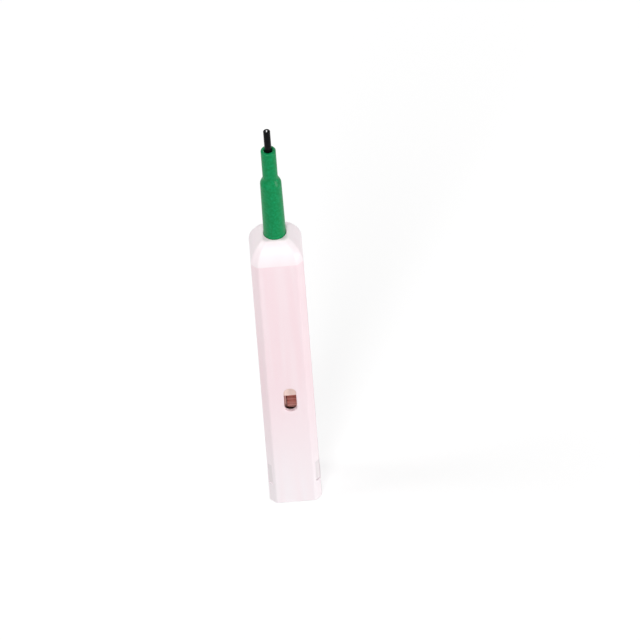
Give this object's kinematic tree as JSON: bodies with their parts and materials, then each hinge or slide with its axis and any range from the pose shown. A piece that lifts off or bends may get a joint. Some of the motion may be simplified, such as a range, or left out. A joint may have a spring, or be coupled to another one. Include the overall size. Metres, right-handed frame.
{
  "type": "fibre connector cleaning pen",
  "caption": "Square-bodied push pen with a stepped nozzle and a black tip that wipes fibre connector end faces with wound thread.",
  "frame": {"origin": "centre of the flat base", "axes": "+Z along the pen towards the tip, viewing window facing -Y, latch openings on +X and -X"},
  "size_m": [0.018, 0.018, 0.166],
  "materials": {
    "case_white": "smooth moulded, faint pink-white",
    "plug_white": "smooth moulded, cool white",
    "nozzle_green": "fine matte moulded grain",
    "frame_cream": "natural moulded",
    "gear_brown": "moulded, slightly worn teeth",
    "reel_rose": "moulded",
    "tip_black": "polished",
    "thread_white": "fine twisted fibre",
    "pin_steel": "ground",
    "spring_steel": "drawn wire"
  },
  "bodies": {
    "case": {"outer_case": "case_white", "base_plug": "plug_white", "drive_bar": "frame_cream", "return_spring": "spring_steel"},
    "carriage": {"frame_left": "frame_cream", "frame_right": "frame_cream", "nozzle": "nozzle_green", "take_up_axle": "pin_steel", "supply_axle": "pin_steel", "guide_pins": "pin_steel", "brake_finger": "spring_steel", "click_pawl": "spring_steel", "feed_thread": "thread_white", "return_thread": "thread_white"},
    "gear": {"drive_gear": "gear_brown"},
    "take_up": {"take_up_reel": "reel_rose", "used_thread": "thread_white"},
    "supply": {"supply_reel": "reel_rose", "fresh_thread": "thread_white"},
    "cam_spindle": {"spindle": "frame_cream", "tip_spring": "spring_steel"},
    "tip": {"tip_tube": "tip_black", "tip_collar": "tip_black", "cross_key": "pin_steel", "wiping_thread": "thread_white"}
  },
  "joints": [
    {"name": "nozzle_push", "type": "slide", "parent": "case", "child": "carriage", "axis": [0, 0, -1], "range_m": [0, 0.008], "stiffness_N_per_m": 500, "springref_m": -0.006, "deforming": ["return_spring"]},
    {"name": "gear_turn", "type": "hinge", "parent": "carriage", "child": "gear", "pos_m": [0, 0, 0.0456], "axis": [1, 0, 0], "range_deg": [0, 75.75]},
    {"name": "take_up_turn", "type": "hinge", "parent": "carriage", "child": "take_up", "pos_m": [0, 0, 0.0456], "axis": [1, 0, 0], "range_deg": [0, 75.75]},
    {"name": "supply_turn", "type": "hinge", "parent": "carriage", "child": "supply", "pos_m": [0, 0, 0.0587], "axis": [1, 0, 0], "range_deg": [0, 54.71]},
    {"name": "tip_twist", "type": "hinge", "parent": "carriage", "child": "cam_spindle", "pos_m": [0, 0, 0.0766], "axis": [0, 0, -1], "range_deg": [0, 180.02]},
    {"name": "tip_float", "type": "slide", "parent": "cam_spindle", "child": "tip", "axis": [0, 0, -1], "range_m": [0, 0.0015], "stiffness_N_per_m": 600, "springref_m": -0.002, "deforming": ["tip_spring"]}
  ],
  "couplings": [
    {"joint": "gear_turn", "follows": "nozzle_push", "rad_per_m": 165.23},
    {"joint": "take_up_turn", "follows": "nozzle_push", "rad_per_m": 165.23},
    {"joint": "supply_turn", "follows": "nozzle_push", "rad_per_m": 119.33},
    {"joint": "tip_twist", "follows": "nozzle_push", "rad_per_m": 392.7}
  ]
}
